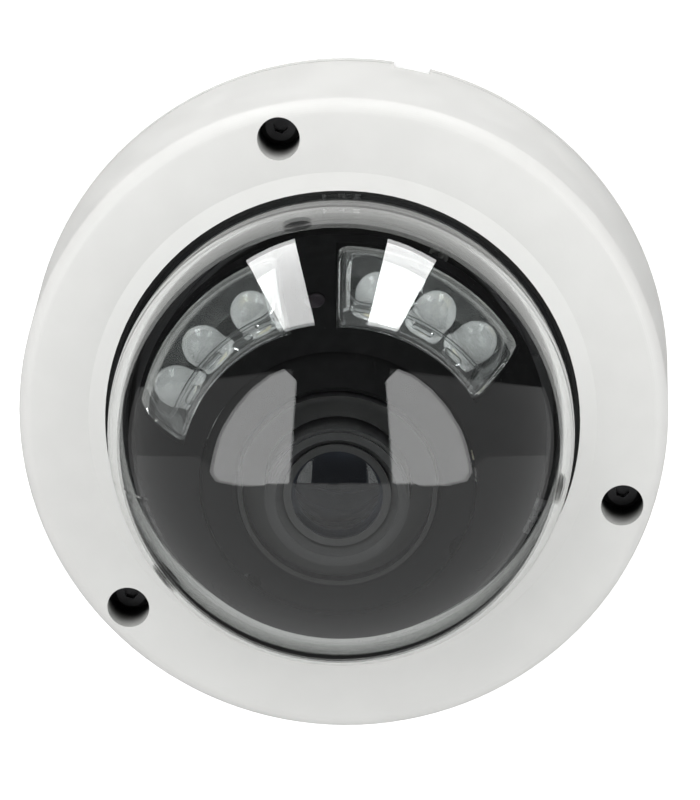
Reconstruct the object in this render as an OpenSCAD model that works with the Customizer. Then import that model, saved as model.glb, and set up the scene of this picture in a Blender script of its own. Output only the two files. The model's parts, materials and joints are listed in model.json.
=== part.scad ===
// Vandal-resistant varifocal dome camera with infrared lamps, standing on its mounting face.
// Millimetres. Origin: centre of the mounting face. +Z runs out through the clear bubble.
// The infrared side of the turret faces -Y.

/* [Body] */
// Diameter of the base flange and the cover
body_d = 159; // [158:0.5:160]
// Thickness of the base flange
flange_t = 2.5; // [2:0.1:2.6]
// Wall thickness of the cover's skirt
skirt_t = 2.6; // [2.2:0.1:2.8]
// Radius of the rounded shoulder of the cover
shoulder_r = 4; // [3.5:0.1:4.5]
// Slope of the cover's front face, in degrees
face_slope = 9; // [8:0.5:9]
// Slope of the bevel round the bubble, in degrees
bevel_slope = 23; // [20:1:26]
// Diameter of the opening that the bubble stands in
lip_d = 116; // [115.8:0.1:116.2]

/* [Cover screws] */
// Direction of the first cover screw, in degrees about Z
well_angle = -88; // [-92:1:-86]
// Distance of the cover screws from the axis
well_ring_r = 71.7; // [71.4:0.1:71.8]
// Diameter of the wells that the cover screws sit in
well_d = 10.4; // [9:0.1:10.6]

/* [Cable exit] */
// Direction of the cable notch in the rim, in degrees about Z
notch_angle = -112; // [-116:1:-108]
// Width of the cable notch
notch_w = 9; // [7:0.5:9.5]
// Height of the cable notch
notch_h = 5.8; // [5:0.1:5.8]

/* [Bubble] */
// Outer diameter of the clear bubble
bubble_d = 113.6; // [113.4:0.1:113.8]
// Wall thickness of the bubble
bubble_t = 2.5; // [2:0.1:2.6]
// Height of the bubble's centre above the mounting face
bubble_z = 60.7; // [60.4:0.1:61]

/* [Turret] */
// Height of the pan and tilt centre above the mounting face
pivot_z = 61.5; // [61.3:0.1:61.7]
// Outer radius of the black turret shell
shell_r = 50; // [49.8:0.1:50]
// Wall thickness of the turret shell
shell_t = 2; // [1.6:0.1:2]
// Tilt of the lens away from the dome's axis as it stands, in degrees
tilt_rest = 3.5; // [0:0.5:6]
// Radius of the sloping face round the lens
face_r = 32.2; // [31.8:0.1:32.4]

/* [Infrared lamps] */
// Angles of the lamps from the middle of the infrared side, in degrees
lamp_angles = [21.5, 42, 59];
// Angles of the same lamps from the lens axis, in degrees
lamp_polars = [69, 71.5, 73.5];
// Radius of each lamp's clear lens
lamp_r = 5.4; // [4.6:0.1:5.5]

/* [Hidden] */
$fn = 96;
EPS = 0.01;
BODY_R = body_d / 2;

// Base
FLOOR_T = 3.5;
WALL_IN = 63.9;
WALL_OUT = 66.5;
WALL_TOP = 37.6;
BOSS_R = 4.6;
BOSS_TOP = 27.6;
INSERT_R = 2.9;
INSERT_BOTTOM = 18;
MOUNT_RING_R = 58.5;
MOUNT_HOLE_R = 2.4;
MOUNT_ANGLES = [60, 180, 300];
TUNNEL_W = notch_w + 3.5;
TUNNEL_TOP = notch_h + 1.7;
COLLAR_TOP = TUNNEL_TOP + 0.4;
GROMMET_TOP = COLLAR_TOP + 1.4;
CABLE_HOLE_R = 10.2;
CABLE_STEP_R = 12;
CABLE_R = 4.5;

// Cover, worked out from the shoulder inwards
SKIRT_BOTTOM = flange_t + 0.6;
SHOULDER_Z = 43.4;
SHOULDER = [BODY_R - shoulder_r, SHOULDER_Z];
FACE_START = SHOULDER + shoulder_r * [sin(face_slope), cos(face_slope)];
BEVEL_R = lip_d / 2 + 4.2;
BEVEL_Z = FACE_START[1] + (FACE_START[0] - BEVEL_R) * tan(face_slope);
LIP_Z = BEVEL_Z + (BEVEL_R - lip_d / 2) * tan(bevel_slope);
SEAT_Z = 46.9;
SEAT_R = 63.6;
UNDER_Z = FACE_START[1] - 2.7;
RIB = [64, 65.05, 39.95, 47.2];
GASKET_OUT = 65;
WELL_FLOOR = 31.5;
WELL_BOTTOM = 29.5;
WELL_WALL = 1.2;
WELL_ANGLES = [for (k = [0:2]) well_angle + 120 * k];
RING_SCREW_R = 60.8;
RING_SCREW_ANGLES = [for (k = [0:5]) well_angle + 30 + 60 * k];

// Bubble and what holds it
BUBBLE_R = bubble_d / 2;
GASKET_T = 1.5;
RIM_T = 2.5;
RIM_TOP = SEAT_Z - GASKET_T;
RIM_BOTTOM = RIM_TOP - RIM_T;
RIM_R = 62.8;

// Board in the base
PCB_BOTTOM = 9.5;
PCB_TOP = 11.1;
PCB_R = 47.3;
PCB_SCREW_R = 42;
PCB_SCREW_ANGLES = [45, 135, 225, 315];

// Pan bearing
SEAT_RING_IN = 47.5;
SEAT_RING_OUT = 53.4;
SEAT_RING_BOTTOM = 33;
SEAT_RING_TOP = 37;
LEG_ANGLES = [-20, 100, 220];
LEG_R = 51.2;
CLIP_ANGLES = [20, 140, 260];
YOKE_BOTTOM = 37.2;
YOKE_TOP = 39.8;
ARM_IN = 42.3;
ARM_OUT = 45;
ARM_W = 12;
PIN_R = 2.5;

// Turret, measured from the tilt axis along the lens axis
SHELL_IN = shell_r - shell_t;
RIM_PLANE = 0.5;
OPENING_R = face_r + 0.4;
WINDOW_FROM = 8;
WINDOW_TO = 69;
WINDOW_TOP = 48;
WINDOW_TWIST = 1.5;
SENSOR_TURN = -3;
WINDOW_LOW = 82.5;
LAMP_CENTRE = 43.2;
IR_BOARD_R = 37.6;
BAY_IN = 35.4;
OVAL_POLAR = 55;
OVAL_ANGLE = 130;
SENSOR_POLAR = 57.5;
SENSOR_R = 2.5;
SIDES = [-1, 1];

// Lens unit
SLEEVE_OUT = 23.4;
SLEEVE_IN = 22.3;
SLEEVE_TOP = 43;
BARREL_R = 17;
BARREL_TOP = 48.5;
GLASS_R = 11.5;
HOUSING_R = 15;
RING_R = 17;

// ---------- shared shapes ----------

// A ring from r1 to r2 between the heights z1 and z2
module ring(r1, r2, z1, z2) {
    translate([0, 0, z1])
        difference() {
            cylinder(r = r2, h = z2 - z1);
            translate([0, 0, -1]) cylinder(r = r1, h = z2 - z1 + 2);
        }
}

// A rod of radius r between the heights z1 and z2
module rod(r, z1, z2) {
    translate([0, 0, z1]) cylinder(r = r, h = z2 - z1);
}

// A box centred on the axis in X and Y, between the heights z1 and z2
module slab(x, y, z1, z2) {
    translate([-x / 2, -y / 2, z1]) cube([x, y, z2 - z1]);
}

// Puts its children at radius r in each of the given directions
module around(angles, r) {
    for (a = angles) rotate([0, 0, a]) translate([r, 0, 0]) children();
}

// The turret's own frame: tilt axis at the origin, lens axis along +Z
module in_turret() {
    translate([0, 0, pivot_z]) rotate([-tilt_rest, 0, 0]) children();
}

// Turns +Z to a direction on the turret: polar from the lens axis, turn from the infrared side
module towards(polar, turn) {
    rotate([0, 0, turn - 90]) rotate([0, polar, 0]) children();
}

// A screw with its head on z, its shank down to z_end, and a six-sided socket
module socket_screw(head_r, head_h, shank_r, z, z_end) {
    difference() {
        union() {
            rod(head_r, z, z + head_h);
            rod(shank_r, z_end, z + EPS);
        }
        translate([0, 0, z + head_h * 0.4]) cylinder(r = head_r * 0.5, h = head_h, $fn = 6);
    }
}

// ---------- base ----------

// Groove that the cable can lie in, from the middle out through the rim
module cable_groove() {
    rotate([0, 0, notch_angle]) translate([BODY_R / 2, 0, 0]) slab(BODY_R + 4, notch_w, -1, notch_h);
}

// The base casting is in four nodes: plate, wall, bosses of the cover screws, legs of the bearing
module base_plate() {
    color("whitesmoke")
        difference() {
            union() {
                rotate_extrude()
                    polygon([[0, 0], [BODY_R, 0], [BODY_R, flange_t], [WALL_OUT, flange_t],
                        [WALL_OUT, FLOOR_T], [0, FLOOR_T]]);
                around(PCB_SCREW_ANGLES, PCB_SCREW_R) rod(3, 1, PCB_BOTTOM);
                rotate([0, 0, notch_angle]) translate([WALL_IN / 2 + 0.3, 0, 0])
                    slab(WALL_IN - 1.4, TUNNEL_W, 1, TUNNEL_TOP);
                rod(CABLE_STEP_R + 2.5, 1, COLLAR_TOP);
            }
            around(PCB_SCREW_ANGLES, PCB_SCREW_R) rod(1.3, 4.5, PCB_BOTTOM + 1);
            around(MOUNT_ANGLES, MOUNT_RING_R) rod(MOUNT_HOLE_R, -1, FLOOR_T + 1);
            rod(CABLE_HOLE_R, -1, TUNNEL_TOP + 1);
            rod(CABLE_STEP_R, -1, 1.5);
            cable_groove();
        }
}

module base_wall() {
    color("whitesmoke")
        difference() {
            ring(WALL_IN, WALL_OUT, FLOOR_T, WALL_TOP);
            around(WELL_ANGLES, well_ring_r)
                rod(well_d / 2 + WELL_WALL + 0.3, WELL_BOTTOM - 0.6, WALL_TOP + 1);
            cable_groove();
        }
}

module cover_bosses() {
    color("whitesmoke")
        difference() {
            union() {
                around(WELL_ANGLES, well_ring_r) rod(BOSS_R, flange_t, BOSS_TOP);
                around(WELL_ANGLES, WALL_OUT + 2.02) slab(4, 4, flange_t, BOSS_TOP - 1);
            }
            around(WELL_ANGLES, well_ring_r) {
                rod(2.05, 10, BOSS_TOP + 1);
                rod(INSERT_R + 0.02, INSERT_BOTTOM, BOSS_TOP + 1);
            }
        }
}

module bearing_legs() {
    color("whitesmoke")
        difference() {
            around(LEG_ANGLES, LEG_R) slab(4.4, 10, FLOOR_T, SEAT_RING_BOTTOM);
            around(LEG_ANGLES, LEG_R) rod(1.5, 22, SEAT_RING_BOTTOM + 1);
        }
}

module base_gasket() {
    color("dimgray")
        rotate_extrude() {
            translate([WALL_IN + 0.1, WALL_TOP]) square([GASKET_OUT - WALL_IN - 0.1, 1.6]);
            translate([GASKET_OUT - 0.5, WALL_TOP + 1.7]) circle(r = 0.45);
        }
}

module thread_inserts() {
    color("goldenrod")
        around(WELL_ANGLES, well_ring_r) ring(2.05, INSERT_R, INSERT_BOTTOM, BOSS_TOP);
}

module cable_grommet() {
    color("dimgray")
        difference() {
            union() {
                rod(CABLE_HOLE_R - 0.1, 0.3, GROMMET_TOP);
                rod(CABLE_STEP_R - 0.2, 0.3, 1.4);
                rod(CABLE_STEP_R, COLLAR_TOP + 0.05, GROMMET_TOP);
            }
            rod(CABLE_R, -1, GROMMET_TOP + 1);
        }
}

module main_board() {
    color("darkgreen")
        difference() {
            rod(PCB_R, PCB_BOTTOM, PCB_TOP);
            rod(CABLE_STEP_R + 1, PCB_BOTTOM - 1, PCB_TOP + 1);
            around(PCB_SCREW_ANGLES, PCB_SCREW_R) rod(1.6, PCB_BOTTOM - 1, PCB_TOP + 1);
        }
}

module board_screws() {
    color("silver")
        around(PCB_SCREW_ANGLES, PCB_SCREW_R) socket_screw(2.6, 1.8, 1.25, PCB_TOP, 5);
}

PROCESSOR = [17, -22];

module processor() {
    color("black")
        translate(PROCESSOR) slab(17, 17, PCB_TOP, PCB_TOP + 1.5);
}

module thermal_pad() {
    color("lightsteelblue")
        translate(PROCESSOR) slab(16, 16, PCB_TOP + 1.5, PCB_TOP + 2.4);
}

module heat_spreader() {
    color("silver")
        translate(PROCESSOR)
            difference() {
                slab(21, 21, PCB_TOP + 2.4, PCB_TOP + 3.9);
                for (k = [-2:2]) translate([4 * k, 0, 0]) slab(1.2, 22, PCB_TOP + 3.2, PCB_TOP + 5);
            }
}

module cable_header() {
    color("ivory")
        translate([-20, 22, 0])
            difference() {
                slab(20, 6, PCB_TOP, PCB_TOP + 3.6);
                slab(18.4, 4.4, PCB_TOP + 1, PCB_TOP + 5);
            }
}

module card_slot() {
    color("silver")
        translate([-38, 0, 0])
            difference() {
                slab(15, 15, PCB_TOP, PCB_TOP + 2.4);
                translate([-2, 0, 0]) slab(15, 11.6, PCB_TOP + 0.6, PCB_TOP + 2);
            }
}

module memory_card() {
    color("black")
        translate([-41.2, 0, 0]) slab(14, 11, PCB_TOP + 0.8, PCB_TOP + 1.8);
}

module reset_switch() {
    color("gray")
        translate([0, 40, 0])
            difference() {
                slab(6, 6, PCB_TOP, PCB_TOP + 3);
                rod(1.7, PCB_TOP + 1.2, PCB_TOP + 4);
            }
}

module reset_plunger() {
    color("black")
        translate([0, 40, 0]) rod(1.65, PCB_TOP + 1.8, PCB_TOP + 4.6);
}

// ---------- pan bearing ----------

module pan_seat_ring() {
    color("gray")
        difference() {
            union() {
                ring(SEAT_RING_IN, SEAT_RING_OUT, SEAT_RING_BOTTOM, SEAT_RING_TOP);
                ring(SEAT_RING_IN, SEAT_RING_IN + 1.3, SEAT_RING_BOTTOM, YOKE_TOP - 0.4);
            }
            around(LEG_ANGLES, LEG_R) {
                rod(1.5, SEAT_RING_BOTTOM - 1, SEAT_RING_TOP);
                rod(2.1, SEAT_RING_TOP - 2, SEAT_RING_TOP + 5);
            }
        }
}

module seat_ring_screws() {
    color("silver")
        around(LEG_ANGLES, LEG_R) socket_screw(2, 1.8, 1.45, SEAT_RING_TOP - 2, 24);
}

// Spring clips that grip the seat ring and hold the yoke down on it
module pan_clips() {
    lip_in = 51.5;
    low = SEAT_RING_BOTTOM - 1.2;
    high = YOKE_TOP + 0.3;
    color("silver")
        for (a = CLIP_ANGLES) rotate([0, 0, a - 5])
            rotate_extrude(angle = 10) {
                translate([SEAT_RING_OUT + 0.1, low]) square([1.2, high - low + 1.2]);
                translate([lip_in, high]) square([3, 1.2]);
                translate([50, low]) square([4, 1.2]);
            }
}

module pan_yoke() {
    color("gray")
        difference() {
            union() {
                ring(SEAT_RING_IN + 1.6, SEAT_RING_OUT - 0.2, YOKE_BOTTOM, YOKE_TOP);
                for (s = SIDES) translate([s * (ARM_IN + ARM_OUT) / 2, 0, 0]) {
                    slab(ARM_OUT - ARM_IN, ARM_W, YOKE_TOP, pivot_z);
                    translate([-(ARM_OUT - ARM_IN) / 2, 0, pivot_z]) rotate([0, 90, 0])
                        cylinder(d = ARM_W, h = ARM_OUT - ARM_IN);
                }
                for (s = SIDES) translate([s * 46.45, 0, 0]) slab(8.3, ARM_W, YOKE_TOP - EPS, YOKE_TOP + 2.2);
            }
            translate([-60, 0, pivot_z]) rotate([0, 90, 0]) cylinder(r = PIN_R + 0.05, h = 120);
        }
}

// ---------- cover ----------

// Points of an arc round a centre, from one direction to another
function arc(centre, r, from, to, steps) =
    [for (k = [0:steps]) let (a = from + (to - from) * k / steps) centre + r * [cos(a), sin(a)]];

// Outer outline of the cover as a solid of revolution, filled to the axis
module cover_blank() {
    rotate_extrude()
        polygon(concat([[0, SKIRT_BOTTOM], [BODY_R, SKIRT_BOTTOM]],
            arc(SHOULDER, shoulder_r, 0, 90 - face_slope, 10),
            [[BEVEL_R, BEVEL_Z], [lip_d / 2, LIP_Z], [0, LIP_Z]]));
}

// Space inside the cover, under its face
module cover_hollow() {
    inner_r = BODY_R - skirt_t;
    rotate_extrude()
        polygon([[0, 0], [inner_r, 0], [inner_r, SHOULDER_Z], [FACE_START[0] - 0.4, UNDER_Z],
            [SEAT_R, UNDER_Z + (FACE_START[0] - 0.4 - SEAT_R) * tan(face_slope)],
            [SEAT_R, SEAT_Z], [0, SEAT_Z]]);
}

module cover_shell() {
    color("whitesmoke")
        difference() {
            union() {
                difference() {
                    cover_blank();
                    cover_hollow();
                }
                ring(RIB[0], RIB[1], RIB[2], RIB[3]);
                intersection() {
                    cover_blank();
                    around(WELL_ANGLES, well_ring_r) rod(well_d / 2 + WELL_WALL, WELL_BOTTOM, 60);
                }
            }
            rod(lip_d / 2, 0, 80);
            around(WELL_ANGLES, well_ring_r) {
                rod(well_d / 2, WELL_FLOOR, 60);
                rod(2.3, WELL_BOTTOM - 1, WELL_FLOOR + 1);
            }
            around(RING_SCREW_ANGLES, RING_SCREW_R) rod(1.3, SEAT_Z - 1, SEAT_Z + 2.1);
            rotate([0, 0, notch_angle]) translate([BODY_R, 0, 0]) slab(20, notch_w, 0, notch_h);
        }
}

module bubble() {
    inner_r = BUBBLE_R - bubble_t;
    color("lightblue", 0.35)
        difference() {
            rotate_extrude() {
                difference() {
                    translate([0, bubble_z]) circle(r = BUBBLE_R);
                    translate([0, bubble_z]) circle(r = inner_r);
                    translate([-2 * BUBBLE_R, 0]) square([2 * BUBBLE_R, 3 * BUBBLE_R]);
                    translate([0, 0]) square([2 * BUBBLE_R, bubble_z]);
                }
                translate([inner_r, RIM_BOTTOM]) square([bubble_t, bubble_z - RIM_BOTTOM]);
                translate([inner_r, RIM_BOTTOM]) square([RIM_R - inner_r, RIM_T]);
            }
            around(RING_SCREW_ANGLES, RING_SCREW_R) rod(1.5, RIM_BOTTOM - 1, RIM_TOP + 1);
        }
}

// Rubber ring under the cover's lip, with a bead that fills the seam round the bubble
module bubble_gasket() {
    color("black")
        difference() {
            union() {
                ring(BUBBLE_R + 0.1, RIM_R, RIM_TOP, SEAT_Z);
                ring(BUBBLE_R + 0.1, lip_d / 2 - 0.05, SEAT_Z - EPS, LIP_Z - 1.6);
            }
            around(RING_SCREW_ANGLES, RING_SCREW_R) rod(1.5, RIM_TOP - 1, SEAT_Z + 1);
        }
}

module bubble_clamp_ring() {
    color("gray")
        difference() {
            ring(BUBBLE_R - 1.6, RIM_R, RIM_BOTTOM - 2.5, RIM_BOTTOM);
            around(RING_SCREW_ANGLES, RING_SCREW_R) rod(1.5, RIM_BOTTOM - 4, RIM_BOTTOM + 1);
        }
}

module clamp_ring_screws() {
    color("silver")
        around(RING_SCREW_ANGLES, RING_SCREW_R) translate([0, 0, RIM_BOTTOM - 2.5]) mirror([0, 0, 1])
            socket_screw(2, 1.6, 1.25, 0, -(RIM_T + GASKET_T + 2.5 + 1.9));
}

module cover_screws() {
    color("dimgray")
        around(WELL_ANGLES, well_ring_r) socket_screw(3.7, 2.8, 1.95, WELL_FLOOR, 16);
}

module screw_retainers() {
    color("black")
        around(WELL_ANGLES, well_ring_r) ring(1.97, 3.3, WELL_BOTTOM - 1, WELL_BOTTOM - 0.1);
}

// ---------- turret ----------

// Space of one infrared window; side is 1 towards +X and -1 towards -X
module window_sector(side, r1, r2, top, low, from, to) {
    rotate([0, 0, -WINDOW_TWIST]) mirror([side > 0 ? 0 : 1, 0, 0]) rotate([0, 0, from - 90])
        rotate_extrude(angle = to - from)
            difference() {
                intersection() {
                    circle(r = r2);
                    polygon([[0, 0], 2 * r2 * [sin(low), cos(low)], 2 * r2 * [sin(top), cos(top)]]);
                }
                circle(r = r1);
            }
}

module oval_recess(side) {
    towards(OVAL_POLAR, side * OVAL_ANGLE) {
        for (s = SIDES) translate([0, s * 1.8, shell_r - 0.8]) cylinder(r = 3.7, h = 5);
        translate([0, 0, shell_r - 0.8]) slab(7.4, 3.6, 0, 5);
    }
}

// Walls that close a lamp bay off from the inside of the turret: its floor and its two ends
module lamp_bay(side) {
    outer = SHELL_IN + 0.6;
    low = WINDOW_LOW + 2.2;
    window_sector(side, BAY_IN, outer, WINDOW_LOW + 0.3, low + 0.3, WINDOW_FROM - 1.8, WINDOW_TO + 1.8);
    window_sector(side, BAY_IN + 0.3, outer, WINDOW_TOP + 3, low, WINDOW_FROM - 2, WINDOW_FROM - 0.4);
    window_sector(side, BAY_IN + 0.3, outer, WINDOW_TOP + 4, low, WINDOW_TO + 0.4, WINDOW_TO + 2);
}

module turret_shell() {
    color("black")
        in_turret() {
            difference() {
                sphere(r = shell_r);
                sphere(r = SHELL_IN);
                slab(3 * shell_r, 3 * shell_r, -2 * shell_r, RIM_PLANE);
                rod(OPENING_R, 0, 2 * shell_r);
                for (s = SIDES) window_sector(s, 40, 60, WINDOW_TOP, WINDOW_LOW, WINDOW_FROM, WINDOW_TO);
                for (s = SIDES) oval_recess(s);
                towards(SENSOR_POLAR, SENSOR_TURN) rod(SENSOR_R, 40, 60);
            }
            for (s = SIDES) lamp_bay(s);
        }
}

// Inner bracket: carries the lens unit, the lamp boards and the two pivots
module turret_frame() {
    color("gray")
        in_turret()
            difference() {
                intersection() {
                    sphere(r = SHELL_IN - 0.05);
                    union() {
                        ring(SLEEVE_OUT + 0.05, SLEEVE_OUT + 2.2, 9, 30);
                        ring(SLEEVE_OUT + 0.05, SLEEVE_OUT + 6, 26, 28);
                        for (a = [50, 130]) rotate([0, 0, a]) translate([36.5, 0, 0]) slab(23, 7, 12, 14.5);
                        for (s = SIDES) translate([s * 33, 0, 0]) slab(16.8, ARM_W, 9, 12);
                        for (s = SIDES) translate([s * 39.8, 0, 0]) {
                            slab(3.2, ARM_W, 0, 12);
                            translate([-1.6, 0, 0]) rotate([0, 90, 0]) cylinder(d = ARM_W, h = 3.2);
                        }
                    }
                }
                rod(SLEEVE_OUT + 0.05, 0, 60);
                translate([-60, 0, 0]) rotate([0, 90, 0]) cylinder(r = PIN_R + 0.02, h = 120);
            }
}

module tilt_pins() {
    color("silver")
        in_turret()
            for (s = SIDES) rotate([0, s * 90, 0])
                difference() {
                    union() {
                        rod(PIN_R, 36.5, 45.3);
                        rod(3.8, 45.2, 46.6);
                    }
                    translate([0, 0, 45.8]) cylinder(r = 1.6, h = 2, $fn = 6);
                }
}

module tilt_washers() {
    color("dimgray")
        in_turret()
            for (s = SIDES) rotate([0, s * 90, 0]) ring(PIN_R + 0.05, 5.4, 41.45, 42.2);
}

// Sloping face round the lens, with two small notches in its rim
module face_ring() {
    inner_r = SLEEVE_OUT + 0.6;
    color("black")
        in_turret()
            difference() {
                rotate_extrude()
                    polygon([[inner_r, 30.5], [face_r - 0.2, 34], [face_r, 36.6], [inner_r + 0.8, 40.8],
                        [inner_r, 40.8]]);
                for (s = SIDES) rotate([0, 0, s * OVAL_ANGLE - 90]) translate([face_r + 1, 0, 0])
                    rod(3, 30, 50);
            }
}

module ir_window(side) {
    gap = 0.25;
    color("lightblue", 0.35)
        in_turret()
            window_sector(side, shell_r - 1.1, shell_r - 0.3, WINDOW_TOP + gap, WINDOW_LOW - gap,
                WINDOW_FROM + gap, WINDOW_TO - gap);
}

module ir_window_left() {
    ir_window(1);
}

module ir_window_right() {
    ir_window(-1);
}

module ir_board(side) {
    color("darkslategray")
        in_turret()
            window_sector(side, IR_BOARD_R - 1.4, IR_BOARD_R, WINDOW_TOP + 2, WINDOW_LOW,
                WINDOW_FROM, WINDOW_TO);
}

module ir_board_left() {
    ir_board(1);
}

module ir_board_right() {
    ir_board(-1);
}

module ir_chips(side) {
    color("khaki")
        in_turret()
            for (k = [0:2]) towards(lamp_polars[k], side * lamp_angles[k] - WINDOW_TWIST)
                slab(3, 3, IR_BOARD_R + 0.1, IR_BOARD_R + 1);
}

module ir_chips_left() {
    ir_chips(1);
}

module ir_chips_right() {
    ir_chips(-1);
}

module ir_lenses(side) {
    color("lightblue", 0.5)
        in_turret()
            for (k = [0:2]) towards(lamp_polars[k], side * lamp_angles[k] - WINDOW_TWIST)
                difference() {
                    union() {
                        rod(lamp_r, IR_BOARD_R + 0.4, LAMP_CENTRE);
                        translate([0, 0, LAMP_CENTRE]) sphere(r = lamp_r);
                    }
                    slab(20, 20, 20, IR_BOARD_R + 0.4);
                    rod(2.4, 20, IR_BOARD_R + 2);
                }
}

module ir_lenses_left() {
    ir_lenses(1);
}

module ir_lenses_right() {
    ir_lenses(-1);
}

module light_sensor_window() {
    color("dimgray")
        in_turret()
            towards(SENSOR_POLAR, SENSOR_TURN) rod(SENSOR_R - 0.1, shell_r - 2.2, shell_r - 0.6);
}

module light_sensor() {
    color("darkgreen")
        in_turret()
            towards(SENSOR_POLAR, SENSOR_TURN) slab(6, 5, shell_r - 4.6, shell_r - 3);
}

// ---------- lens unit ----------

module lens_mount() {
    color("black")
        in_turret()
            difference() {
                rod(SLEEVE_OUT, 6, SLEEVE_TOP);
                rod(SLEEVE_IN, 8, 60);
                slab(11, 9, 0, 20);
                rotate([0, 0, 45]) around([0, 90, 180, 270], 17.5) rod(1, 0, 20);
            }
}

// Foam ring between the sleeve and the lens
module lens_collar() {
    color("black")
        in_turret() ring(RING_R + 0.3, SLEEVE_IN - 0.05, 37.6, 39.6);
}

module lens_housing() {
    color("dimgray")
        in_turret()
            difference() {
                union() {
                    rod(HOUSING_R, 12.2, 33.5);
                    rod(16.8, 12.2, 15);
                }
                rod(9.2, 18.5, 60);
                rod(6.6, 8, 60);
            }
}

module middle_lens() {
    color("lightblue", 0.6)
        in_turret()
            intersection() {
                rod(9.1, 22, 27);
                translate([0, 0, 27 - 20]) sphere(r = 20);
                translate([0, 0, 22 + 24]) sphere(r = 24);
            }
}

module rear_lens() {
    color("lightblue", 0.6)
        in_turret()
            intersection() {
                rod(6.5, 12.8, 16.6);
                translate([0, 0, 16.6 - 14]) sphere(r = 14);
                translate([0, 0, 12.8 + 16]) sphere(r = 16);
            }
}

module motor(turn) {
    color("silver")
        in_turret()
            rotate([0, 0, turn]) translate([19.7, 0, 0]) {
                rod(2.4, 12, 24);
                rod(0.7, 24 - EPS, 27);
            }
}

module zoom_motor() {
    motor(35);
}

module focus_motor() {
    motor(145);
}

module filter_frame() {
    color("gray")
        in_turret()
            difference() {
                slab(27, 13, 8.1, 11.8);
                slab(24, 10.4, 9, 11.2);
                slab(9, 8, 8, 20);
            }
}

module filter_slider() {
    color("lightcoral", 0.7)
        in_turret()
            translate([-6.4, 0, 0]) slab(11, 10, 9.3, 10.7);
}

module image_sensor() {
    color("darkslategray")
        in_turret() slab(9.6, 8, 4.7, 6.2);
}

module sensor_board() {
    color("darkgreen")
        in_turret()
            difference() {
                rod(21.5, 3.1, 4.7);
                around([45, 135, 225, 315], 17.5) rod(1.1, 0, 20);
            }
}

module sensor_board_screws() {
    color("silver")
        in_turret()
            around([45, 135, 225, 315], 17.5) translate([0, 0, 3.1]) mirror([0, 0, 1])
                socket_screw(1.9, 1.4, 0.95, 0, -4.6);
}

// A ring with a grip of shallow grooves
module grip_ring(z1, z2) {
    color("dimgray")
        in_turret()
            difference() {
                ring(HOUSING_R + 0.1, RING_R, z1, z2);
                around([for (a = [0:15:345]) a], RING_R + 0.2) rod(0.5, z1 - 1, z2 + 1);
            }
}

module zoom_ring() {
    grip_ring(16, 21);
}

module focus_ring() {
    grip_ring(24, 29);
}

module front_barrel() {
    color("black")
        in_turret()
            difference() {
                union() {
                    rod(BARREL_R, 37, BARREL_TOP - 0.8);
                    rod(BARREL_R - 0.8, 37, BARREL_TOP);
                }
                rod(GLASS_R + 0.05, 41, 60);
                rod(9.4, 30, 60);
                rotate_extrude() polygon([[0, BARREL_TOP + 2.2], [0, 45.2], [GLASS_R + 1.2, 45.2],
                    [14.4, BARREL_TOP], [14.4, BARREL_TOP + 2.2]]);
            }
}

// Retaining ring on the front glass
module front_bezel() {
    color("dimgray")
        in_turret() ring(GLASS_R - 0.7, GLASS_R + 1.1, 45.25, 46.2);
}

module front_glass() {
    color("lightblue", 0.6)
        in_turret()
            intersection() {
                rod(GLASS_R, 41.2, 47);
                translate([0, 0, 46.6 - 30]) sphere(r = 30);
            }
}

base_plate();
base_wall();
cover_bosses();
bearing_legs();
base_gasket();
thread_inserts();
cable_grommet();
main_board();
board_screws();
processor();
thermal_pad();
heat_spreader();
cable_header();
card_slot();
memory_card();
reset_switch();
reset_plunger();
pan_seat_ring();
seat_ring_screws();
pan_clips();
cover_shell();
bubble();
bubble_gasket();
bubble_clamp_ring();
clamp_ring_screws();
cover_screws();
screw_retainers();
pan_yoke();
turret_shell();
turret_frame();
tilt_pins();
tilt_washers();
face_ring();
ir_window_left();
ir_window_right();
ir_board_left();
ir_board_right();
ir_chips_left();
ir_chips_right();
ir_lenses_left();
ir_lenses_right();
light_sensor_window();
light_sensor();
lens_mount();
lens_collar();
lens_housing();
middle_lens();
rear_lens();
zoom_motor();
focus_motor();
filter_frame();
filter_slider();
image_sensor();
sensor_board();
sensor_board_screws();
zoom_ring();
focus_ring();
front_barrel();
front_bezel();
front_glass();
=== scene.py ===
"""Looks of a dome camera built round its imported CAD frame: materials, detailed pieces, lights, camera."""

import json
import math

import bmesh
import bpy
from mathutils import Matrix, Vector


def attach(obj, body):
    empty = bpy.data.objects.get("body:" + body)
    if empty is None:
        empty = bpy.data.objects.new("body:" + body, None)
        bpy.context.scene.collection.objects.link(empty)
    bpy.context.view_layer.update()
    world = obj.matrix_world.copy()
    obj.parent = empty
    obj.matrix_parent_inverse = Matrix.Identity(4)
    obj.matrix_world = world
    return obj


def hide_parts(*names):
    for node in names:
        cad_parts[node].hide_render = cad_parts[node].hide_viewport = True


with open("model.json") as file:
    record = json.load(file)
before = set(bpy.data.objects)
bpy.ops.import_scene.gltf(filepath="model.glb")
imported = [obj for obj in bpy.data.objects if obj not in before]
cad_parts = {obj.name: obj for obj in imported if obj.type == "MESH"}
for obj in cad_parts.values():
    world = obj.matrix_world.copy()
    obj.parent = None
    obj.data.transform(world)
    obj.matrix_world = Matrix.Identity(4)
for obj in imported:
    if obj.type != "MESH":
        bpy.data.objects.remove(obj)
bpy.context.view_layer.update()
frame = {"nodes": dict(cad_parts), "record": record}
NODES = frame["nodes"]
MM = 0.001

# ---------- camera ----------

AZIMUTH = math.radians(252.7)
TILT = math.radians(14.7)
ROLL = math.radians(-6.95)
DISTANCE = 2.155
LENS = 388.3
AIM_RIGHT, AIM_UP = 0.000275, -0.00775

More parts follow.
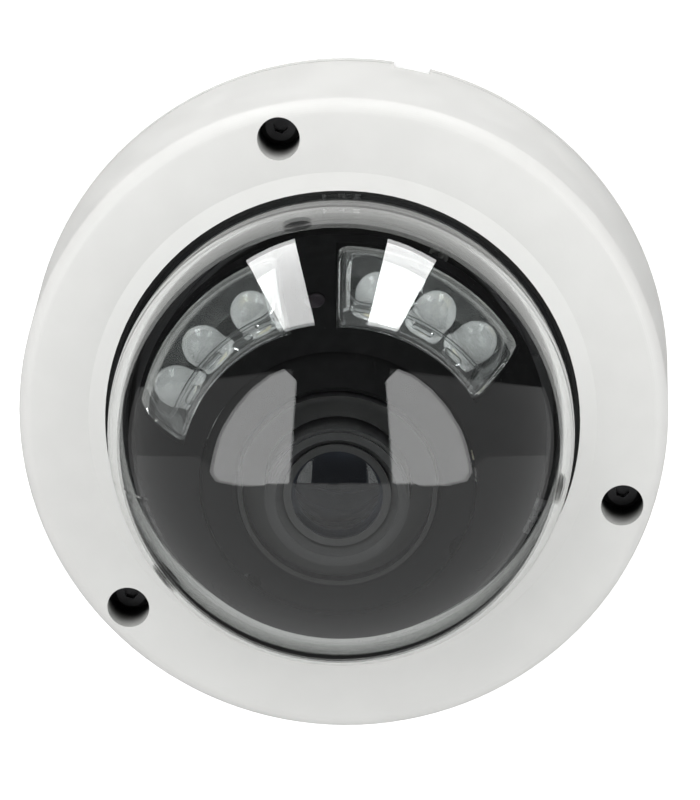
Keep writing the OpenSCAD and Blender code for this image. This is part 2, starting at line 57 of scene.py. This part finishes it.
BACK = Vector((math.cos(AZIMUTH) * math.sin(TILT), math.sin(AZIMUTH) * math.sin(TILT), math.cos(TILT)))
_up = Vector((math.cos(AZIMUTH) * math.cos(TILT), math.sin(AZIMUTH) * math.cos(TILT), -math.sin(TILT)))
_right = Vector((math.sin(AZIMUTH), -math.cos(AZIMUTH), 0))
RIGHT = _right * math.cos(ROLL) - _up * math.sin(ROLL)
UP = _right * math.sin(ROLL) + _up * math.cos(ROLL)


def place(obj, location, x, y, z):
    """Puts obj at location with its own axes along x, y and z."""
    obj.matrix_world = Matrix.Translation(location) @ Matrix((x, y, z)).transposed().to_4x4()


def add_camera():
    data = bpy.data.cameras.new("camera")
    data.lens = LENS
    data.sensor_width = 36
    data.clip_start = 0.05
    data.clip_end = 50
    cam = bpy.data.objects.new("camera", data)
    bpy.context.scene.collection.objects.link(cam)
    location = BACK * DISTANCE
    z = (location - (RIGHT * AIM_RIGHT + UP * AIM_UP)).normalized()
    x = (RIGHT - z * RIGHT.dot(z)).normalized()
    place(cam, location, x, z.cross(x), z)
    bpy.context.scene.camera = cam


# ---------- lights ----------

BUBBLE_CENTRE = Vector((0, 0, 60.7 * MM))


def in_view(x, y, z):
    """A vector from parts along the picture's right, its up, and towards the camera."""
    return RIGHT * x + UP * y + BACK * z


def panel(name, centre, across, width, height, radiance):
    """A soft box at centre, measured from the bubble; its sides lie along the two directions in across."""
    data = bpy.data.lights.new(name, "AREA")
    data.shape = "RECTANGLE"
    data.size, data.size_y = width, height
    data.energy = radiance * width * height * 4
    obj = bpy.data.objects.new(name, data)
    bpy.context.scene.collection.objects.link(obj)
    x = in_view(*across[0]).normalized()
    y = in_view(*across[1]).normalized()
    z = x.cross(y)
    where = in_view(*centre)
    if z.dot(where) < 0:
        x, z = -x, -z
    place(obj, BUBBLE_CENTRE + where, x, y, z)
    return obj


# Picture places are counted in pixels from the bubble's middle, right and up
BUBBLE_PIXELS = 233
# Outline of the bright card on the right, as seen mirrored in the bubble
CARD = ((44, 51), (55, 62), (70, 56), (89, 41), (105, 22), (118, 0), (125, -23), (129, -49), (51, -50))
CARD_GLOW, SIDE_TENT_GLOW, LOW_TENT_GLOW = 2.5, 0.27, 0.4
TENT_REACH = 0.9 * BUBBLE_PIXELS
TENT_TOP, TENT_SIDE = 62, 48
STRIP_GLOW, TOP_GLOW, LOW_GLOW = 4.4, 2.15, 1.35
WORLD_GLOW = 0.015


def mirrored(x, y, distance=2.0):
    """The place that the bubble mirrors towards the camera at that spot of the picture."""
    nx, ny = x / BUBBLE_PIXELS, y / BUBBLE_PIXELS
    nz = math.sqrt(1 - nx * nx - ny * ny)
    return BUBBLE_CENTRE + in_view(2 * nz * nx, 2 * nz * ny, 2 * nz * nz - 1) * distance


def glowing(name, rows, radiance):
    """A reflector made of rows of points, unseen by the camera."""
    bm = bmesh.new()
    grid = [[bm.verts.new(point) for point in row] for row in rows]
    for a, b in zip(grid, grid[1:]):
        for k in range(len(a) - 1):
            bm.faces.new((a[k], a[k + 1], b[k + 1], b[k]))
    mesh = bpy.data.meshes.new(name)
    bm.to_mesh(mesh)
    bm.free()
    n = Nodes(name)
    glow = n.add("ShaderNodeEmission")
    glow.inputs["Strength"].default_value = radiance
    n.link(glow.outputs[0], n.output.inputs["Surface"])
    mesh.materials.append(n.material)
    obj = bpy.data.objects.new(name, mesh)
    bpy.context.scene.collection.objects.link(obj)
    obj.visible_camera = False


def brink(x):
    """Height at which the brighter lower tent begins, at that distance from the picture's middle."""
    share = max(0.0, min(1.0, (abs(x) - 118) / 22))
    return -50 + 26 * share * share * (3 - 2 * share)


def add_reflectors():
    """Bright cards on both sides, and a dim tent below and beside them."""
    (x0, y0), (x1, y1) = CARD[0], CARD[-1]
    inner = [(x0 + (x1 - x0) * k / 7, y0 + (y1 - y0) * k / 7) for k in range(8)]
    outer = CARD[1:9]
    for side in (-1, 1):
        word = "left" if side < 0 else "right"
        card = [[mirrored(side * x, y, 1.9) for x, y in row] for row in (inner, outer)]
        glowing(f"card_{word}", card, CARD_GLOW)
        rows = []
        for j in range(9):
            y = TENT_TOP - 14 * j
            span = math.sqrt(TENT_REACH ** 2 - y * y) - TENT_SIDE
            rows.append([mirrored(side * (TENT_SIDE + span * k / 12), y - (8 - j) * k / 5)
                         for k in range(13)])
        glowing(f"tent_{word}", rows, SIDE_TENT_GLOW)
    columns = []
    for k in range(-20, 21):
        x = 0.97 * TENT_REACH * k / 20
        foot = -math.sqrt(TENT_REACH ** 2 - x * x)
        columns.append([mirrored(x, brink(x) + (foot - brink(x)) * j / 10, 1.8) for j in range(11)])
    glowing("tent_low", columns, LOW_TENT_GLOW)


def add_lights():
    for side in (-1, 1):
        panel(f"strip_{'left' if side < 0 else 'right'}", (side * 0.6, 1.5, 0.17),
              ((1, 0, 0), (0, 0, 1)), 0.47, 1.7, STRIP_GLOW)
    top = panel("top_light", (-0.35, 0.95, 1.25), ((1, 0, 0), (0, 0.796, -0.605)), 1.2, 1.2, TOP_GLOW)
    low = panel("low_light", (0.3, -1.2, 1.0), ((1, 0, 0), (0, 0.64, 0.768)), 1.4, 1.2, LOW_GLOW)
    for lamp in (top, low):
        lamp.visible_glossy = False
        lamp.visible_transmission = False
    add_reflectors()


def add_world():
    """A white backdrop to the camera that lights the object only faintly."""
    world = bpy.data.worlds.new("studio")
    bpy.context.scene.world = world
    world.use_nodes = True
    background = world.node_tree.nodes["Background"]
    background.inputs["Color"].default_value = (1, 1, 1, 1)
    path = world.node_tree.nodes.new("ShaderNodeLightPath")
    strength = world.node_tree.nodes.new("ShaderNodeMapRange")
    strength.inputs["To Min"].default_value = WORLD_GLOW
    strength.inputs["To Max"].default_value = 1.0
    world.node_tree.links.new(path.outputs["Is Camera Ray"], strength.inputs["Value"])
    world.node_tree.links.new(strength.outputs["Result"], background.inputs["Strength"])
    bpy.context.scene.view_settings.view_transform = "Standard"


# ---------- materials ----------

# Millimetres and degrees: where the screw wells stand, and the inside of the housing's wall; both mark where
# the white paint gets painted shade
WELL_RING, WELL_TURN, WELL_R = 71.7, -88, 5.2
WALL_INSIDE = 62.6
# Height of the front barrel's rim, in millimetres, where a paler band is painted as a highlight
RIM_FROM, RIM_TO = 106.2, 107.2


class Nodes:
    """Builds the nodes of one material."""

    def __init__(self, name):
        self.material = bpy.data.materials.new(name)
        self.material.use_nodes = True
        self.tree = self.material.node_tree
        self.shader = self.tree.nodes["Principled BSDF"]
        self.output = self.tree.nodes["Material Output"]
        self.place = self.add("ShaderNodeTexCoord").outputs["Object"]

    def add(self, kind, **settings):
        node = self.tree.nodes.new(kind)
        for key, value in settings.items():
            setattr(node, key, value)
        return node

    def link(self, a, b):
        self.tree.links.new(a, b)

    def noise(self, feature, detail=3, stretch=(1, 1, 1)):
        """Noise with features of that size in millimetres."""
        node = self.add("ShaderNodeTexNoise")
        node.inputs["Scale"].default_value = 1000 / feature
        node.inputs["Detail"].default_value = detail
        if stretch == (1, 1, 1):
            self.link(self.place, node.inputs["Vector"])
        else:
            scale = self.add("ShaderNodeVectorMath", operation="MULTIPLY")
            scale.inputs[1].default_value = stretch
            self.link(self.place, scale.inputs[0])
            self.link(scale.outputs[0], node.inputs["Vector"])
        return node.outputs["Fac"]

    def ramp(self, value, low, high, to_low, to_high):
        node = self.add("ShaderNodeMapRange", interpolation_type="SMOOTHSTEP")
        for key, number in zip(("From Min", "From Max", "To Min", "To Max"), (low, high, to_low, to_high)):
            node.inputs[key].default_value = number
        self.link(value, node.inputs["Value"])
        return node.outputs["Result"]

    def math(self, operation, a, b):
        node = self.add("ShaderNodeMath", operation=operation)
        for socket, value in zip(node.inputs, (a, b)):
            if isinstance(value, (int, float)):
                socket.default_value = value
            else:
                self.link(value, socket)
        return node.outputs[0]

    def mix(self, factor, a, b):
        node = self.add("ShaderNodeMix", data_type="RGBA")
        self.link(factor, node.inputs["Factor"])
        for socket, value in ((node.inputs[6], a), (node.inputs[7], b)):
            if isinstance(value, tuple):
                socket.default_value = (*value, 1)
            else:
                self.link(value, socket)
        return node.outputs[2]

    def bump(self, height, depth, strength=1.0, under=None):
        """Bumps of that depth in millimetres."""
        node = self.add("ShaderNodeBump")
        node.inputs["Strength"].default_value = strength
        node.inputs["Distance"].default_value = depth * MM
        self.link(height, node.inputs["Height"])
        if under is not None:
            self.link(under, node.inputs["Normal"])
        return node.outputs["Normal"]

    def set(self, **values):
        for key, value in values.items():
            self.shader.inputs[key.replace("_", " ")].default_value = value


def tint(colour, by):
    return tuple(max(0.0, min(1.0, c * by)) for c in colour)


def solid(name, colour, rough, mottle=(6, 0.08), grain=(0.5, 0.02), rough_vary=0.06, detail=3,
          stretch=(1, 1, 1), **sockets):
    """An opaque finish: colour mottled over mottle[0] mm, bumps grain[0] mm wide and grain[1] mm deep."""
    n = Nodes(name)
    patches = n.noise(mottle[0], 4)
    n.link(n.mix(n.ramp(patches, 0.3, 0.7, 0, 1), tint(colour, 1 - mottle[1]), tint(colour, 1 + mottle[1])),
           n.shader.inputs["Base Color"])
    fine = n.noise(grain[0], detail, stretch)
    n.link(n.ramp(patches, 0.25, 0.75, rough - rough_vary, rough + rough_vary), n.shader.inputs["Roughness"])
    n.link(n.bump(fine, grain[1]), n.shader.inputs["Normal"])
    n.set(**sockets)
    return n


def clear(name, colour, rough, ior, ripple=(20, 0.02), clarity=1.0, **sockets):
    """A clear solid that lamps shine through: glass to the eye, see-through to shadow rays."""
    n = Nodes(name)
    n.set(Transmission_Weight=clarity, IOR=ior, **sockets)
    n.shader.inputs["Base Color"].default_value = (*colour, 1)
    waves = n.noise(ripple[0], 2)
    n.link(n.ramp(waves, 0.3, 0.7, rough, rough + 0.015), n.shader.inputs["Roughness"])
    n.link(n.bump(waves, ripple[1]), n.shader.inputs["Normal"])
    path = n.add("ShaderNodeLightPath")
    through = n.add("ShaderNodeBsdfTransparent")
    through.inputs["Color"].default_value = (*colour, 1)
    both = n.add("ShaderNodeMixShader")
    n.link(path.outputs["Is Shadow Ray"], both.inputs["Fac"])
    n.link(n.shader.outputs["BSDF"], both.inputs[1])
    n.link(through.outputs["BSDF"], both.inputs[2])
    n.link(both.outputs["Shader"], n.output.inputs["Surface"])
    return n


def white_paint():
    """Satin powder coat with a fine orange peel; painted shade darkens the screw wells and the inside of the
    housing.
    """
    n = solid("white_housing", (0.66, 0.66, 0.645), 0.42, (9, 0.012), (0.9, 0.012), 0.05,
              Specular_IOR_Level=0.45)
    split = n.add("ShaderNodeSeparateXYZ")
    n.link(n.place, split.inputs[0])
    height = split.outputs["Z"]
    flat = n.add("ShaderNodeVectorMath", operation="MULTIPLY")
    flat.inputs[1].default_value = (1, 1, 0)
    n.link(n.place, flat.inputs[0])
    length = n.add("ShaderNodeVectorMath", operation="LENGTH")
    n.link(flat.outputs[0], length.inputs[0])
    # Painted shade: near-black inside the housing's wall, from just above the floor of the base
    inside = n.ramp(length.outputs["Value"], WALL_INSIDE * MM, (WALL_INSIDE + 0.5) * MM, 1, 0)
    painted_shade = n.math("MULTIPLY", inside, n.ramp(height, 2.6 * MM, 3.4 * MM, 0, 1))
    for k in range(3):
        turn = math.radians(WELL_TURN + 120 * k)
        away = n.add("ShaderNodeVectorMath", operation="DISTANCE")
        away.inputs[1].default_value = (WELL_RING * MM * math.cos(turn), WELL_RING * MM * math.sin(turn), 0)
        n.link(flat.outputs[0], away.inputs[0])
        near = n.ramp(away.outputs["Value"], (WELL_R + 0.3) * MM, (WELL_R + 0.6) * MM, 1, 0)
        # Painted shade down each screw well, above its floor
        well_shade = n.math("MULTIPLY", near, n.ramp(height, 28.6 * MM, 29.4 * MM, 0, 1))
        painted_shade = n.math("MAXIMUM", painted_shade, well_shade)
    # The painted shade fades out between 36 and 46.4 mm, towards the face
    painted_shade = n.math("MULTIPLY", painted_shade, n.ramp(height, 36 * MM, 46.4 * MM, 1, 0))
    paint = n.shader.inputs["Base Color"].links[0].from_socket
    # Mixes the near-black painted shade into the paint colour
    n.link(n.mix(painted_shade, paint, (0.02, 0.02, 0.02)), n.shader.inputs["Base Color"])
    return n


def barrel_plastic():
    """Black plastic of the lens unit, with a paler band painted at the rim round the front glass as a
    highlight.
    """
    n = solid("black_barrel", (0.006, 0.006, 0.0062), 0.42, (2, 0.12), (0.25, 0.008), 0.07,
              Specular_IOR_Level=0.5)
    split = n.add("ShaderNodeSeparateXYZ")
    n.link(n.place, split.inputs[0])
    # Painted highlight: a paler band at the rim round the front glass
    rim_highlight = n.ramp(split.outputs["Z"], RIM_FROM * MM, RIM_TO * MM, 0, 1)
    plastic = n.shader.inputs["Base Color"].links[0].from_socket
    n.link(n.mix(rim_highlight, plastic, (0.02, 0.02, 0.0205)), n.shader.inputs["Base Color"])
    return n


def shell_plastic():
    """Black plastic with a fine spark-eroded texture over soft mottling."""
    return solid("black_shell", (0.0055, 0.0055, 0.0057), 0.75, (3, 0.15), (0.42, 0.03), 0.08, 4,
              Specular_IOR_Level=0.0)


MAKERS = {
    "white_housing": white_paint,
    "black_rubber": lambda: solid("black_rubber", (0.012, 0.012, 0.012), 0.7, (5, 0.2), (0.3, 0.02)),
    "brass_insert": lambda: solid("brass_insert", (0.72, 0.5, 0.2), 0.3, (3, 0.1), (0.15, 0.01), 0.08,
                                  Metallic=1.0),
    "circuit_board": lambda: solid("circuit_board", (0.008, 0.009, 0.008), 0.4, (2.5, 0.35), (0.8, 0.03),
                                   0.1),
    "bright_screw": lambda: solid("bright_screw", (0.7, 0.7, 0.69), 0.28, (1.5, 0.08), (0.12, 0.008), 0.08,
                                  Metallic=1.0),
    "dark_screw": lambda: solid("dark_screw", (0.1, 0.1, 0.105), 0.35, (1.5, 0.1), (0.15, 0.01), 0.08,
                                Metallic=1.0),
    "black_chip": lambda: solid("black_chip", (0.02, 0.02, 0.021), 0.5, (2, 0.15), (0.12, 0.01), 0.08),
    "thermal_pad": lambda: solid("thermal_pad", (0.42, 0.48, 0.58), 0.8, (2, 0.1), (0.25, 0.03)),
    "heat_spreader": lambda: solid("heat_spreader", (0.72, 0.72, 0.74), 0.35, (4, 0.06), (0.2, 0.01), 0.08,
                                   stretch=(1, 0.08, 1), Metallic=1.0),
    "ivory_plastic": lambda: solid("ivory_plastic", (0.72, 0.68, 0.55), 0.45, (3, 0.05), (0.3, 0.01)),
    "spring_steel": lambda: solid("spring_steel", (0.6, 0.6, 0.61), 0.3, (3, 0.08), (0.15, 0.008), 0.08,
                                  stretch=(0.1, 1, 1), Metallic=1.0),
    "grey_plastic": lambda: solid("grey_plastic", (0.035, 0.035, 0.037), 0.55, (3, 0.12), (0.4, 0.02)),
    "clear_bubble": lambda: clear("clear_bubble", (0.97, 0.985, 0.98), 0.0, 1.58, (35, 0.015)),
    "black_shell": shell_plastic,
    "clear_window": lambda: clear("clear_window", (0.97, 0.98, 0.98), 0.0, 1.58, (6, 0.01), 0.985),
    "lamp_board": lambda: solid("lamp_board", (0.01, 0.01, 0.01), 0.4, (2, 0.3), (0.6, 0.02), 0.1),
    "lamp_chip": lambda: solid("lamp_chip", (0.7, 0.62, 0.35), 0.35, (0.8, 0.2), (0.2, 0.01)),
    "lamp_lens": lambda: clear("lamp_lens", (0.9, 0.9, 0.9), 0.03, 1.5, (3, 0.01), 0.76),
    "smoked_window": lambda: solid("smoked_window", (0.01, 0.008, 0.01), 0.12, (1.5, 0.1), (0.8, 0.002), 0.03,
                                   Coat_Weight=0.6),
    "black_barrel": barrel_plastic,
    "lens_glass": lambda: clear("lens_glass", (0.6, 0.64, 0.74), 0.0, 1.5, (12, 0.004)),
    "filter_glass": lambda: clear("filter_glass", (0.8, 0.3, 0.35), 0.0, 1.5, (4, 0.004)),
}
MATERIALS = {name: make().material for name, make in MAKERS.items()}


def dress_nodes():
    """Gives every CAD node the finish of its material slot."""
    for row in frame["record"]["subparts"]:
        node = NODES[row["node"]]
        for slot in node.material_slots:
            slot.material = MATERIALS[row["material_slot"]]


# ---------- lamp windows and lamps ----------

SHELL_R = 50
PIVOT = Vector((0, 0, 61.5 * MM))
TURRET = Matrix.Translation(PIVOT) @ Matrix.Rotation(math.radians(-3.5), 4, "X")
# Each lamp's place on one side: degrees from the lens axis, and round it from the infrared side
LAMPS = ((69, 21.5), (71.5, 42), (73.5, 59))
WINDOW_TWIST = 1.5
SIDES = {"left": 1, "right": -1}


def on_turret(polar, turn, r):
    """A point on the turret: polar from the lens axis, turn from the infrared side, r in millimetres."""
    p, t = math.radians(polar), math.radians(turn - 90 - WINDOW_TWIST)
    return TURRET @ (Vector((math.sin(p) * math.cos(t), math.sin(p) * math.sin(t), math.cos(p))) * r * MM)


def rounded(polar, turn, radius, inset=0.0, lean=0.0):
    """Outline of a rounded patch of the shell as (polar, turn) pairs. inset shrinks it, and lean moves its
    inner edge outwards, both in millimetres."""
    low = polar[0] + math.degrees((inset + lean) / SHELL_R)
    high = polar[1] - math.degrees(inset / SHELL_R)
    r = max(radius - inset, 0.35)
    middle = math.sin(math.radians((low + high) / 2))
    rp = math.degrees(r / SHELL_R)
    rt = rp / middle
    squeeze = math.degrees(inset / SHELL_R) / middle
    left, right = turn[0] + squeeze, turn[1] - squeeze
    points = []
    corners = ((high - rp, right - rt, 0), (high - rp, left + rt, 90),
               (low + rp, left + rt, 180), (low + rp, right - rt, 270))
    for k, (p, t, start) in enumerate(corners):
        arc = [math.radians(start + 15 * step) for step in range(7)]
        points += [(p + rp * math.sin(a), t + rt * math.cos(a)) for a in arc]
        nxt = corners[(k + 1) % 4]
        b = math.radians(start + 90)
        end = (nxt[0] + rp * math.sin(b), nxt[1] + rt * math.cos(b))
        steps = (22, 8)[k % 2]
        points += [tuple(u + (v - u) * j / steps for u, v in zip(points[-1], end)) for j in range(1, steps)]
    return points


class Solid:
    """Collects closed shapes into one mesh."""

    def __init__(self):
        self.bm = bmesh.new()

    def loop(self, points):
        return [self.bm.verts.new(p) for p in points]

    def bridge(self, a, b):
        for k in range(len(a)):
            j = (k + 1) % len(a)
            self.bm.faces.new((a[k], a[j], b[j], b[k]))

    def fan(self, loop, middle):
        centre = self.bm.verts.new(middle)
        for k in range(len(loop)):
            self.bm.faces.new((loop[k], loop[(k + 1) % len(loop)], centre))

    def loft(self, loops, first=None, last=None):
        """Joins loops of points in turn. The ends close on the points first and last, or on each other."""
        rows = [self.loop(points) for points in loops]
        for a, b in zip(rows, rows[1:]):
            self.bridge(a, b)
        if first is None:
            self.bridge(rows[-1], rows[0])
        else:
            self.fan(rows[0], first)
            self.fan(rows[-1], last)

    def finish(self, name, material, slot, body, *replaced, sharp=35):
        bmesh.ops.recalc_face_normals(self.bm, faces=self.bm.faces)
        mesh = bpy.data.meshes.new(name)
        self.bm.to_mesh(mesh)
        self.bm.free()
        mesh.shade_smooth()
        mesh.set_sharp_from_angle(angle=math.radians(sharp))
        mesh.materials.append(material)
        obj = bpy.data.objects.new(name, mesh)
        bpy.context.scene.collection.objects.link(obj)
        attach(obj, body)
        if replaced:
            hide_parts(*replaced)
        return obj


def patch(solid, side, polar, turn, radius, r_in, r_out):
    """A small rounded block that follows the shell."""
    def at(r, inset):
        return [on_turret(p, side * t, r) for p, t in rounded(polar, turn, radius, inset)]
    middle = (sum(polar) / 2, side * sum(turn) / 2)
    solid.loft([at(r_in, 0.15), at(r_in + 0.15, 0), at(r_out - 0.2, 0), at(r_out, 0.2)],
               on_turret(*middle, r_in), on_turret(*middle, r_out))


def ridge(solid, side, polar, turn, radius, width, r_in, r_out):
    """A thin raised line round a rounded patch."""
    def at(r, inset):
        return [on_turret(p, side * t, r) for p, t in rounded(polar, turn, radius, inset)]
    solid.loft([at(r_in, 0), at(r_out, 0), at(r_out, width), at(r_in, width)])


# A lamp window's span in degrees from the lens axis and round it, and its pane in millimetres
WINDOW_POLAR = (48.4, 82.1)
WINDOW_TURN = (8.4, 68.6)
PANE = (48.75, 49.7)


def lamp_window(name, side):
    """Clear tray over three lamps: a curved pane on side walls, with a ridge and tabs moulded in."""
    def at(r, inset, lean=0.0):
        return [on_turret(p, side * t, r) for p, t in rounded(WINDOW_POLAR, WINDOW_TURN, 3.2, inset, lean)]

    middle = (sum(WINDOW_POLAR) / 2, sum(WINDOW_TURN) / 2)

    def shrunk(r, inset, share):
        ring = rounded(WINDOW_POLAR, WINDOW_TURN, 3.2, inset)
        return [on_turret(p + (middle[0] - p) * share, side * (t + (middle[1] - t) * share), r)
                for p, t in ring]

    shares = [k / 8 for k in range(1, 8)]
    solid = Solid()
    walls = [at(41.6, 0.1), at(41.9, 0), at(48.9, 0), at(49.35, 0.12), at(49.6, 0.4), at(PANE[1], 0.9)]
    pane_out = [shrunk(PANE[1], 0.9, share) for share in shares]
    rows = [solid.loop(points) for points in walls + pane_out]
    for a, b in zip(rows, rows[1:]):
        solid.bridge(a, b)
    solid.fan(rows[-1], on_turret(middle[0], side * middle[1], PANE[1]))
    inner = [at(41.6, 1.0, 2.6), at(41.9, 1.1, 2.6), at(47.6, 1.0, 0.5), at(48.4, 1.3), at(PANE[0], 1.9)]
    pane_in = [shrunk(PANE[0], 1.9, share) for share in shares]
    inside = [solid.loop(points) for points in inner + pane_in]
    for a, b in zip(inside, inside[1:]):
        solid.bridge(a, b)
    solid.fan(inside[-1], on_turret(middle[0], side * middle[1], PANE[0]))
    solid.bridge(rows[0], inside[0])
    under = PANE[0] - 0.04
    ridge(solid, side, (57, 79.8), (11.2, 66.2), 5.0, 0.5, 47.9, under)
    patch(solid, side, (52.2, 54.8), (22, 30), 1.2, 47.6, under)
    patch(solid, side, (52.2, 54.8), (48, 56), 1.2, 47.6, under)
    patch(solid, side, (55.3, 56.6), (13, 20), 0.6, 47.0, under)
    patch(solid, side, (55.3, 56.6), (35, 43), 0.6, 47.0, under)
    return solid.finish(name, MATERIALS["clear_window"], "clear_window", "tilt", name.replace("_tray", ""))


# A lamp's clear lens, in millimetres from the turret's centre: its dome, and (radius, height) below it
DOME_R, DOME_RISE, DOME_FOOT = 5.05, 5.3, 43.2
LENS_PROFILE = [(2.0, 39.8), (2.35, 39.3), (2.4, 38.1), (5.0, 38.1), (5.05, 38.3), (5.05, 39.2), (4.95, 39.4),
                (4.8, 39.6), (4.75, 40.2), (4.85, 41.8), (DOME_R, DOME_FOOT)]


def lamp_lenses(name, side):
    """Three domed clear lenses, each with a foot and a hollow over its chip."""
    solid = Solid()
    angles = [math.radians(9 * k) for k in range(1, 10)]
    dome = [(DOME_R * math.cos(a), DOME_FOOT + DOME_RISE * math.sin(a)) for a in angles]
    for polar, turn in LAMPS:
        out = on_turret(polar, side * turn, 1) - PIVOT
        z = out.normalized()
        x = z.orthogonal().normalized()
        y = z.cross(x)

        def at(r, height):
            spin = [2 * math.pi * k / 40 for k in range(40)]
            return [PIVOT + (z * height + x * r * math.cos(a) + y * r * math.sin(a)) * MM for a in spin]

        solid.loft([at(r, height) for r, height in LENS_PROFILE + dome],
                   PIVOT + z * 39.95 * MM, PIVOT + z * 48.51 * MM)
    return solid.finish(name, MATERIALS["lamp_lens"], "lamp_lens", "tilt", name.replace("domes", "lenses"))


def add_lamps():
    for word, side in SIDES.items():
        lamp_window(f"ir_window_{word}_tray", side)
        lamp_lenses(f"ir_domes_{word}", side)


# ---------- floor ----------

def add_floor():
    bm = bmesh.new()
    bmesh.ops.create_grid(bm, x_segments=8, y_segments=8, size=6)
    mesh = bpy.data.meshes.new("floor")
    bm.to_mesh(mesh)
    bm.free()
    floor = bpy.data.objects.new("floor", mesh)
    bpy.context.scene.collection.objects.link(floor)
    floor.location.z = -0.0002
    floor.visible_glossy = False
    floor.visible_transmission = False
    n = solid("floor", (0.95, 0.95, 0.95), 0.85, (60, 0.01), (2, 0.05), 0.05)
    n.shader.inputs["Emission Color"].default_value = (1, 1, 1, 1)
    n.shader.inputs["Emission Strength"].default_value = 0.35
    mesh.materials.append(n.material)


add_camera()
add_lights()
add_world()
add_floor()
dress_nodes()
add_lamps()
